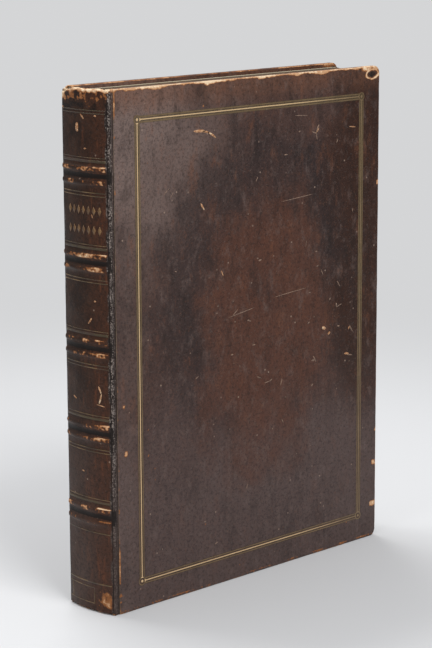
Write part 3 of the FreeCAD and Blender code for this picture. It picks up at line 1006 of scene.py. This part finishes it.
# %% Distance from the gilt frame, and worn edges
def frame_distance(x, z):
    """Signed distance from the middle line of the gilt frame."""
    (low_x, _, low_z), (high_x, _, high_z) = middle_line
    across = abs(x - (low_x + high_x) / 2) - (high_x - low_x) / 2
    upward = abs(z - (low_z + high_z) / 2) - (high_z - low_z) / 2
    return max(across, upward)


def edge_wear(place, z, deep, inset):
    """Tongues of bare flesh at the head, and rubbed arrises on the three free edges."""
    tongues = 1.5 * MM + 2.8 * MM * rough(place, 48.0, 2.0) + 1.6 * MM * rough(place, 210.0, 6.0)
    head = smooth_step(tongues - (book_height - z), -1.6 * MM, 0.9 * MM)
    head *= smooth_step(2 * MM - deep, 0, 1.2 * MM) * (0.98 + 0.5 * rough(place, 26.0, 22.0))
    near_head = smooth_step(z, book_height - 9 * MM, book_height - 4 * MM)
    rim = smooth_step(RIM * 1.3 - inset, 0, RIM * 0.8)
    patches = 0.16 + 0.5 * rough(place, 34.0, 5.0) + 0.3 * rough(place, 120.0, 15.0)
    arris = peak(deep, 0.5 * MM, 0.8 * MM) * (patches + 0.42 + 0.35 * near_head)
    inner_arris = peak(board_depth - deep, 0.5 * MM, 0.8 * MM) * (patches + 0.30 + 0.25 * near_head)
    return max(head, rim * max(arris, inner_arris, patches + 0.18 * near_head))


print("a cover's middle lies %.0f mm inside its gilt frame" % (-frame_distance(0, book_height / 2) / MM))


# %% Worn corners and joints
def corner_wear(place, x, z, deep, side, wear_and_glint):
    """The fore corners: frayed at the head, with a small hole in the face and a bare ring round it."""
    from_fore = x - fore_x
    tail_gap = math.hypot(from_fore, z) - 4 * MM * rough(place, 90.0)
    frayed = smooth_step(from_fore, -30 * MM, -22 * MM) * (0.6 if side > 0 else 1.0)
    frayed *= smooth_step(z, book_height - 7.0 * MM, book_height - 2.5 * MM)
    frayed *= 0.86 + 0.6 * rough(place, 200.0, 31.0)
    oval = math.hypot((from_fore + 10.5 * MM) / (6.4 * MM), (z - book_height + 7.6 * MM) / (3.2 * MM))
    oval += 0.45 * rough(place, 170.0, 61.0)
    on_face = smooth_step(2 * MM - deep, 0, 1 * MM)
    hole = smooth_step(1.05 - oval, 0, 0.2) * on_face
    ring = peak(oval, 1.38, 0.26) * on_face * (1.0 + 0.7 * rough(place, 140.0, 62.0))
    fore_top = smooth_step(from_fore, -2.2 * MM, -0.6 * MM)
    fore_top *= smooth_step(z, book_height - 17 * MM, book_height - 9 * MM)
    tail = 0.6 * smooth_step(6 * MM - tail_gap, 0, 5 * MM)
    return max(wear_and_glint, tail, frayed, ring, 0.8 * fore_top) * (1 - hole), hole


def joint_marks(place, z, from_joint):
    """Wear, dark grooves that are partly cracks and partly painted shade, and grey crackle where a cover's
    leather crosses the joint.
    """
    top_gap = math.hypot(from_joint, z - book_height) - 3 * MM * rough(place, 110.0)
    low_crack = smooth_step(z, 24 * MM, 34 * MM) * smooth_step(66 * MM - z, 0, 8 * MM)
    high_crack = smooth_step(z, book_height - 32 * MM, book_height - 24 * MM)
    flecks = 0.30 + 0.55 * rough(place, 110.0, 9.0)
    on_arris = peak(from_joint, 0.7 * MM, 0.8 * MM) * (flecks + 0.45 * low_crack + 0.4 * high_crack)
    # Dark lines down the joint's two grooves: partly cracks in the leather, partly painted shade in the
    # grooves.
    groove_shade_and_cracks = max(peak(from_joint, -0.25 * MM, 0.45 * MM), peak(from_joint, -2.0 * MM, 0.35 * MM))
    # Grey crackle laid on the strip behind the joint and on the narrow ridge between its grooves.
    outer = smooth_step(-from_joint, 2.2 * MM, 2.7 * MM)
    outer *= 0.55 + 0.45 * smooth_step(-from_joint, 3.2 * MM, 4.2 * MM)
    greying = max(outer, 0.5 * peak(from_joint, -1.25 * MM, 0.4 * MM))
    return max(0.85 * smooth_step(6 * MM - top_gap, 0, 5 * MM), on_arris), groove_shade_and_cracks, greying


on_strip = Vector((joint_x, -half_thickness, book_height / 2))
print("bloom 4 mm behind the joint: %.2f" % joint_marks(on_strip, book_height / 2, -4 * MM)[2])

# %% All the marks of one point on a cover
SPOTS_MEASURED_ON = 337 * MM
stretch = cover_width / SPOTS_MEASURED_ON


def cover_marks(x, z, deep, inset, side, worn_spots):
    """Wear, dark marks with painted shade, and grey crackle at a point on a cover's leather."""
    place = Vector((x, side * (half_thickness - deep), z))
    from_joint = x - joint_x
    by_joint, groove_shade_and_cracks, greying = joint_marks(place, z, from_joint)
    wear_and_glint, hole = corner_wear(place, x, z, deep, side, edge_wear(place, z, deep, inset))
    wear_and_glint = max(wear_and_glint, by_joint)
    for spot_x, spot_z, radius, strength in worn_spots:
        gap = math.hypot(from_joint / stretch - spot_x * MM, z - spot_z * MM)
        edge = radius * MM * (1 + 0.6 * rough(place, 190.0))
        wear_and_glint = max(wear_and_glint, strength * smooth_step(edge - gap, -1 * MM, 1.2 * MM))
    tail_line = peak(z, 2.1 * MM, 0.9 * MM) * smooth_step(1.2 * MM - deep, 0, 0.8 * MM)
    wear_and_glint = max(wear_and_glint, tail_line * (0.66 + 0.6 * rough(place, 60.0, 41.0)))
    # Painted contact shadow: the lowest millimetre of the cover's leather is darkened where it meets the
    # floor.
    contact_shadow = smooth_step(1.1 * MM - z, 0, 0.8 * MM)
    dark_marks_and_shade = max(contact_shadow, 0.62 * hole, groove_shade_and_cracks - 0.5 * max(0.0, wear_and_glint), 0.0)
    return {"wear_and_glint": wear_and_glint, "dark_marks_and_shade": dark_marks_and_shade, "greying": greying}


def cover_depth(x, z, side):
    """Small swellings and dents, all sunk below the gilt."""
    clear = smooth_step(abs(frame_distance(x, z)), 4.5 * MM, 10 * MM)
    wave = 0.10 * (1 + rough((x, side, z), 22.0, 3.0)) + 0.07 * (1 + rough((x, side, z), 85.0, 4.0))
    return wave * clear * MM


print("the cover's spots are stretched by %.3f" % stretch)


# %% Lay a cover's skin
def make_cover_skin(name, side, replaced, worn_spots):
    def fold(column, row):
        folded = fold_cover(column, row)
        if folded is None:
            return None
        x, z, deep, inset = folded
        marks = cover_marks(x, z, deep, inset, side, worn_spots)
        battered = smooth_step(6 * MM - inset, 0, 5 * MM)
        dent = battered * 0.12 * MM * (1 + rough((x, side * deep, z), 95.0, 13.0 + side))
        sunk = FACE_DROP + deep * (board_depth - FACE_DROP) / board_depth
        if deep < 0.5 * board_depth:
            sunk += cover_depth(x, z, side) + 0.6 * dent
        place = Vector((x, side * (half_thickness - sunk), z))
        if deep > 0.01 * MM and x > fore_x - 3 * MM:
            place.x -= dent
        if x < joint_x + 0.5 * MM:
            lower = (2.8 if side > 0 else 1.4) * MM * smooth_step(joint_x + 0.5 * MM - x, 0, 4.5 * MM)
            place.z = min(place.z, book_height - lower)
        lowest = 0.02 * MM + dent * (z < RIM)
        highest = book_height - 0.02 * MM - dent * (z > book_height - RIM)
        place.z = min(max(place.z, lowest), highest)
        return place, marks

    shape = lay_sheet(cover_columns(), cover_rows(), fold)
    face_outwards(shape, (0, side * 1.0, book_height / 2))
    piece = make_piece(shape, name, cover_leather, "leather")
    thicken(piece, 0.8 * MM)
    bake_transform(piece)
    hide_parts(replaced)


FRONT_SPOTS = [
    (333, 75, 3.2, 0.95), (332, 33, 3.6, 1.0), (336, 108, 2.4, 0.9), (335, 354, 2.4, 0.85),
    (105, 443, 1.6, 0.72), (39, 398, 1.6, 0.75), (35, 162, 1.6, 0.7),
    (9, 145, 2.2, 0.85), (36, 140, 1.4, 0.7), (7, 188, 2.0, 0.8), (44, 126, 1.4, 0.7), (44, 115, 1.4, 0.7),
    (105, 61, 1.6, 0.7), (203, 37, 1.6, 0.75), (294, 22, 1.8, 0.75), (147, 13, 2.0, 0.75),
    (1.5, 17, 2.2, 0.62), (1.0, 12, 1.8, 0.55),
]
BACK_SPOTS = [(320, 440, 5.0, 1.1), (331, 60, 5.0, 1.0), (150, 300, 3.0, 0.8), (60, 90, 2.5, 0.8)]
make_cover_skin("front_leather", -1, "front_cover_leather", FRONT_SPOTS)
make_cover_skin("back_leather", 1, "back_cover_leather", BACK_SPOTS)

# %% [markdown]
# ## Scuffs and nicks
#
# A scuff is a sliver where the polished grain of the leather is gone and the pale flesh shows. Each
# one starts as a flat circle, is stretched into a sliver, gets an uneven outline, and is pushed up
# through the leather by a hair so that it catches the eye but not the light.


# %% One scuff
SCUFF_POINTS = 14


def raise_sliver(shape, rim, rise):
    """Extrude the flat face inside this rim, so that it stands as a thin closed sliver."""
    rim = set(rim)
    face = [f for f in shape.faces if all(v in rim for v in f.verts)]
    made = bmesh.ops.extrude_face_region(shape, geom=face)["geom"]
    top = [item for item in made if isinstance(item, bmesh.types.BMVert)]
    bmesh.ops.translate(shape, verts=top, vec=rise)


def add_scuff(shape, place, along, facing, length, width, seed):
    rim = bmesh.ops.create_circle(shape, cap_ends=True, segments=SCUFF_POINTS, radius=0.5)["verts"]
    across = facing.cross(along).normalized()
    for vert in rim:
        wobble = 1 + 0.5 * rough((vert.co.x, vert.co.y, seed), 3.0, seed)
        bend = 0.12 * math.sin(4 * vert.co.x + seed) * width
        flat = Vector((vert.co.x * length, vert.co.y * width * wobble + bend, 0))
        vert.co = place + along * flat.x + across * flat.y - facing * 0.25 * MM
    raise_sliver(shape, rim, facing * 0.30 * MM)


print("a scuff has", SCUFF_POINTS, "points round its rim")


# %% The finishes of bare and of scratched leather
def make_bared():
    finish = Finish("bared_flesh")
    grit = finish.noise(700.0, 5.0, roughness=0.7)
    colour = finish.blend(finish.ease(grit, 0.35, 0.62), FLESH_BROWN, FLESH_TAN)
    colour = finish.blend(finish.ease(finish.noise(240.0, 3.0), 0.56, 0.74), colour, FLESH_PALE)
    return finish.finish(colour, 0.85, finish.bump(grit, 0.0002))


def make_faint():
    finish = Finish("faint_scratch")
    grit = finish.noise(600.0, 5.0, roughness=0.7)
    colour = finish.blend(finish.ease(grit, 0.35, 0.65), rgb(0.12, 0.075, 0.055), rgb(0.27, 0.17, 0.115))
    return finish.finish(colour, 0.7, finish.bump(grit, 0.0001))


bared = make_bared()
faint = make_faint()
print("scuff finishes:", bared.name, faint.name)

# %% Scuffs and scratches on the front cover
BRIGHT_SCUFFS = [
    (100, 421.5, 15, 2.4, -6), (108, 420.0, 8, 1.8, -16), (115, 417, 12, 1.8, -30), (103, 354, 8, 1.7, -52),
    (251, 410, 6, 1.2, 55), (261, 221, 5.5, 3.2, -30), (268, 215, 4, 2.4, 20), (293, 191, 7, 2.2, -15),
    (296, 216, 3.5, 1.6, 60), (299, 409.5, 10, 1.1, -5), (127, 291, 6, 1.1, -60),
]
FAINT_SCUFFS = [
    (251, 412, 9, 1.2, 60), (247, 408, 8, 1.1, -25), (250, 404, 6, 1.0, 100), (229, 425.5, 17, 0.8, -3),
    (224, 349.5, 44, 0.75, 4), (151, 251.5, 35, 0.85, 8), (143, 252.5, 9, 0.9, 35),
    (215, 261.5, 45, 0.65, 4), (160, 243, 3, 1.3, 0), (172, 299, 3, 1.2, 0), (281, 220, 3.5, 1.6, 0),
    (246, 192, 4, 1.8, 10), (278, 241, 4, 1.6, 80), (189, 182, 5, 1.0, 20), (312, 245, 3, 1.0, 40),
    (205, 140, 4, 0.9, -60), (95, 200, 4, 0.9, 30), (70, 300, 3, 0.9, -20), (300, 330, 4, 0.9, 70),
    (60, 372, 9, 0.7, 35), (66, 368, 7, 0.6, 50), (158, 86, 5, 0.8, 70), (236, 305, 6, 0.6, 80),
    (281, 261, 7, 1.0, -55), (282, 240, 8, 0.9, 15), (299, 215, 9, 1.1, -60), (298, 189, 6, 1.2, -10),
    (258, 275, 7, 0.8, -65), (250, 296, 3, 1.1, 0), (252, 282, 3, 1.2, 30), (241, 258, 3, 1.0, 0),
    (269, 248, 3, 1.2, 40), (240, 229, 3, 1.4, 20), (248, 193, 7, 1.4, -60), (174, 187, 7, 1.0, -20),
    (184, 181, 6, 1.0, 10), (203, 178, 7, 1.0, 75), (167, 219, 4, 1.1, 0), (245, 168, 3, 1.3, 30),
    (139, 214, 3, 1.4, 0), (162, 242, 3, 1.2, 0), (175, 297, 4, 1.4, 20), (171, 372, 5, 0.9, 60),
    (209, 391, 5, 1.1, 0), (227, 411, 3, 1.0, 0), (278, 398, 5, 0.9, 60), (118, 40, 4, 0.9, 25),
]


def scratch_cover(name, scuffs, material):
    shape = bmesh.new()
    for number, (x, z, length, width, angle) in enumerate(scuffs):
        turned = Vector((math.cos(math.radians(angle)), 0, math.sin(math.radians(angle))))
        spot = Vector((joint_x + x * MM * stretch, -half_thickness + FACE_DROP + 0.12 * MM, z * MM))
        add_scuff(shape, spot, turned, Vector((0, -1, 0)), length * MM, width * MM, number)
    make_closed_piece(shape, name, material, "leather", "front_cover")


scratch_cover("front_scuffs", BRIGHT_SCUFFS, bared)
scratch_cover("front_scratches", FAINT_SCUFFS, faint)

# %% Scuffs on the back
BACK_SCUFFS = [
    (5.0, 431.5, 8, 4.2, 82), (-1.5, 441, 6, 1.4, 40), (-16.7, 442, 2.5, 1.6, 0), (-4.7, 413.6, 2.5, 1.5, 0),
    (27.0, 447, 3.0, 1.6, 60), (-7.5, 264, 7, 1.6, -50), (-13.7, 282, 2.5, 1.6, 0),
    (-17.5, 204, 7, 1.8, 60), (-18.0, 196, 10, 1.6, 105), (-18.5, 190, 9, 0.8, 8),
    (14.7, 193, 5, 1.4, 30), (4.0, 128, 3, 1.2, 20), (-12.0, 356, 3.5, 1.1, 75),
]


def back_faces(y):
    """The way the back faces at this distance from its middle, and the level direction along it."""
    turn = math.pi - math.asin(y / BACK_RADIUS)
    facing = Vector((math.cos(turn), math.sin(turn), 0))
    return facing, facing.cross(Vector((0, 0, 1)))


shape = bmesh.new()
for number, (y, z, length, width, angle) in enumerate(BACK_SCUFFS):
    facing, level = back_faces(y * MM)
    turned = level * math.cos(math.radians(angle)) + Vector((0, 0, 1)) * math.sin(math.radians(angle))
    spot = Vector((back_centre_x, 0, z * MM)) + facing * (BACK_RADIUS + 0.05 * MM)
    add_scuff(shape, spot, turned, facing, length * MM, width * MM, number + 40)
make_closed_piece(shape, "spine_scuffs", bared, "leather", "root")

# %% [markdown]
# ## Gilt on the back
#
# The finisher rolled thin lines across the back with a curved tool: a pair below each double band, a
# single one and a broad dull one above it, two faint ones near the head and a box at the tail. Each
# line is a small rectangle spun round the back's own axis. The second compartment gets two rows of
# plain lozenges, an old binder's tool.


# %% One line and one lozenge
GILT_PROUD = 0.12 * MM
LINE_STEPS = 44


def add_line(shape, height, width, reach_from, reach_to):
    """A curved line across the back, from one side's reach to the other's."""
    outer = BACK_RADIUS + GILT_PROUD
    inner = outer - 0.5 * MM
    first, last = math.asin(reach_from / outer), math.asin(reach_to / outer)
    corners = [(-outer, -0.5), (-outer, 0.5), (-inner, 0.5), (-inner, -0.5)]
    verts = [shape.verts.new((back_centre_x + x, 0, height + share * width)) for x, share in corners]
    face = shape.faces.new(verts)
    axis = Vector((0, 0, 1))
    middle = (back_centre_x, 0, 0)
    bmesh.ops.rotate(shape, verts=verts, cent=middle, matrix=Matrix.Rotation(-first, 3, axis))
    bmesh.ops.spin(shape, geom=[face] + face.edges[:] + verts, cent=middle, axis=axis,
                   angle=first - last, steps=LINE_STEPS, use_merge=False, use_duplicate=False)


def add_lozenge(shape, y, z, width, height):
    facing, level = back_faces(y)
    spot = Vector((back_centre_x, 0, z)) + facing * (BACK_RADIUS - 0.3 * MM)
    rim = bmesh.ops.create_circle(shape, cap_ends=True, segments=4, radius=1.0)["verts"]
    for vert in rim:
        vert.co = spot + level * vert.co.x * width / 2 + Vector((0, 0, vert.co.y * height / 2))
    raise_sliver(shape, rim, facing * 0.40 * MM)


print("a line across the back is spun in", LINE_STEPS, "steps")

# %% Lines across the back
shape = bmesh.new()
LINE_REACH = half_thickness - 3.6 * MM
FINE = 0.8 * MM
for band in band_heights[1:]:
    for offset in (-14.6, -17.4):
        add_line(shape, band + offset * MM, FINE, -LINE_REACH, LINE_REACH)
for band in band_heights:
    add_line(shape, band + 15.4 * MM, 0.6 * MM, -LINE_REACH, LINE_REACH)
add_line(shape, band_heights[0] - 15.6 * MM, FINE, -LINE_REACH, LINE_REACH)
add_line(shape, 27.0 * MM, 1.2 * MM, -LINE_REACH, LINE_REACH)
BOX_SIDE = -8.0 * MM
for height in (22.5, 8.0):
    add_line(shape, height * MM, FINE, BOX_SIDE, LINE_REACH)
for side in (BOX_SIDE, 23.0 * MM):
    add_line(shape, 15.2 * MM, 14.6 * MM, side - 0.4 * MM, side + 0.4 * MM)
back_lines = make_closed_piece(shape, "spine_gilding", back_gilt, "gilt", "root")
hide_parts("spine_gilt_lines")

# %% The broad dull lines and the lozenges
shape = bmesh.new()
for band in band_heights:
    add_line(shape, band + 12.4 * MM, 2.4 * MM, -LINE_REACH, LINE_REACH)
for height in (444.0, 446.6):
    add_line(shape, height * MM, FINE, -LINE_REACH, LINE_REACH)
make_closed_piece(shape, "spine_broad_gilding", dull_gilt, "gilt", "root")

shape = bmesh.new()
second_middle = (band_heights[-1] + band_heights[-2]) / 2
for row in (-9.5, 7.5):
    for column in range(-3, 4):
        add_lozenge(shape, column * 6.2 * MM - 1.5 * MM, second_middle + row * MM, 4.2 * MM, 8.0 * MM)
make_closed_piece(shape, "spine_lozenges", tool_gilt, "gilt", "root")

# %% [markdown]
# ## The leaves
#
# Hundreds of leaves, trimmed together, have handled into slight steps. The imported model's block has
# the right body, so a copy of it is cut by planes at every leaf, and the cut edges are moved in and
# out by a hair: the head, the tail and the hollow fore edge then show real grooves between leaves.

# %% Cut the block into leaves
LEAF = 0.62 * MM


def make_leaves():
    shape = bmesh.new()
    shape.from_mesh(frame["nodes"]["text_block"].data)
    bmesh.ops.remove_doubles(shape, verts=shape.verts[:], dist=0.002 * MM)
    bmesh.ops.dissolve_limit(shape, angle_limit=math.radians(0.5),
                             verts=shape.verts[:], edges=shape.edges[:])
    half = block_high[1]
    count = int(half / (LEAF / 2))

    def cut(place, normal):
        everything = shape.verts[:] + shape.edges[:] + shape.faces[:]
        bmesh.ops.bisect_plane(shape, geom=everything, dist=0.001 * MM, plane_co=place, plane_no=normal)

    for number in range(-count, count + 1):
        cut((0, number * LEAF / 2, 0), (0, 1, 0))
    for x in steps(block_low[0] + 12 * MM, block_high[0] - 12 * MM, 20 * MM):
        cut((x, 0, 0), (1, 0, 0))
    for z in steps(block_low[2] + 15 * MM, block_high[2] - 15 * MM, 24 * MM):
        cut((0, 0, z), (0, 0, 1))
    return shape


def step_leaves(shape):
    draw = random.Random(11)
    offsets = {}
    for vert in shape.verts:
        number = round(vert.co.y / (LEAF / 2))
        if number not in offsets:
            offsets[number] = draw.random()
        groove = 0.34 if number % 2 else 0.0
        gather = 0.18 * (1 + math.sin(number / 5.0))
        depth = (groove + 0.28 * offsets[number] + gather + 0.12 * rough(vert.co, 30.0)) * MM
        if vert.co.z > block_high[2] - 0.01 * MM:
            vert.co.z -= depth
        elif vert.co.z < block_low[2] + 0.01 * MM:
            vert.co.z += depth
        if vert.co.x > block_high[0] - 9 * MM and abs(vert.co.y) < block_high[1]:
            vert.co.x -= depth


leaf_shape = make_leaves()
step_leaves(leaf_shape)
leaves = make_piece(leaf_shape, "leaves", leaf_edges, "leaves", "root")
for polygon in leaves.data.polygons:
    polygon.use_smooth = False
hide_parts("text_block")

# %% [markdown]
# ## Endbands
#
# An endband is silk wound over a thin core at each end of the back. A ring is spun round the back's
# axis, and every second step is drawn in a little, so the turns of the thread stand out.


# %% Wind the endbands
TURNS = 120


def make_endband(name, node):
    low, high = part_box(node)
    radius = (high[2] - low[2]) / 2
    middle = (high[2] + low[2]) / 2
    path = back_centre_x - low[0] - radius
    reach = math.asin((high[1] - 0.3 * MM) / path)
    shape = bmesh.new()
    ring = bmesh.ops.create_circle(shape, cap_ends=True, segments=12, radius=radius * 0.98)["verts"]
    bmesh.ops.rotate(shape, verts=ring, cent=(0, 0, 0), matrix=Matrix.Rotation(math.pi / 2, 3, "X"))
    bmesh.ops.translate(shape, verts=ring, vec=(back_centre_x - path, 0, middle))
    turn = Matrix.Rotation(-reach, 3, "Z")
    bmesh.ops.rotate(shape, verts=ring, cent=(back_centre_x, 0, 0), matrix=turn)
    everything = shape.faces[:] + shape.edges[:] + shape.verts[:]
    bmesh.ops.spin(shape, geom=everything, cent=(back_centre_x, 0, 0), axis=(0, 0, 1),
                   angle=2 * reach, steps=TURNS, use_merge=False, use_duplicate=False)
    for vert in shape.verts:
        angle = math.atan2(vert.co.y, back_centre_x - vert.co.x)
        number = round((angle + reach) / (2 * reach / TURNS))
        centre = Vector((back_centre_x - path * math.cos(angle), path * math.sin(angle), middle))
        if number % 2:
            vert.co = centre + (vert.co - centre) * 0.86
    band = make_closed_piece(shape, name, silk, "endband", "root")
    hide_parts(node)


make_endband("head_silk", "head_endband")
make_endband("tail_silk", "tail_endband")

# %% [markdown]
# ## The paper joints
#
# The endpaper is one folded sheet: half is pasted to the board and half is the flyleaf. Between them
# it crosses the joint, and it opens with the cover. It is laid as a narrow strip, folded in a V as when
# the book is shut.


# %% Lay the paper joints
def make_paper_joint(name, side):
    flyleaf_depth = half_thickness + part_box("front_flyleaf")[0][1]
    block_depth = half_thickness - block_high[1]
    path = [(-0.42, flyleaf_depth / MM - 0.08), (-0.50, 6.4), (-0.56, block_depth / MM + 1.0), (-0.52, 2.9),
            (-0.36, 2.66), (-0.22, 2.55), (-0.08, 2.52), (0.04, 2.6), (0.12, 2.9), (0.13, 4.4), (0.13, 5.8),
            (0.14, 7.1), (0.4, 7.38), (1.4, 7.40), (2.6, 7.38)]

    def fold(column, height):
        x, depth = column
        return Vector((joint_x + x * MM, side * (half_thickness - depth * MM), height)), {}

    low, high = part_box("front_pastedown")
    shape = lay_sheet(path, steps(low[2] + 1 * MM, high[2] - 1 * MM, 12 * MM), fold)
    face_outwards(shape, (0, 0, book_height / 2))
    strip = make_piece(shape, name, endpaper, "endpaper")
    thicken(strip, 0.1 * MM)
    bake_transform(strip)


make_paper_joint("front_paper_joint", -1)
make_paper_joint("back_paper_joint", 1)


# %% [markdown]
# ## The pieces under the skin
#
# Boards, infill, lining, cords, endpapers and the gilt frames already have their final form in the
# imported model, so their meshes stay as they are and only their finish is new. They matter because
# they show at the edges and whenever a cover stands open.


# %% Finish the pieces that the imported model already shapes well
def refinish(material, *names):
    for name in names:
        for slot in frame["nodes"][name].material_slots:
            slot.material = material


refinish(endpaper, "front_flyleaf", "back_flyleaf", "front_pastedown", "back_pastedown")
refinish(board_grey, "front_board", "back_board")
refinish(lining_paper, "front_infill", "back_infill", "spine_lining")
refinish(hemp, *cord_nodes)
refinish(frame_gilt, "front_gilt_frame", "back_gilt_frame")
print("carried-over pieces have their finishes")
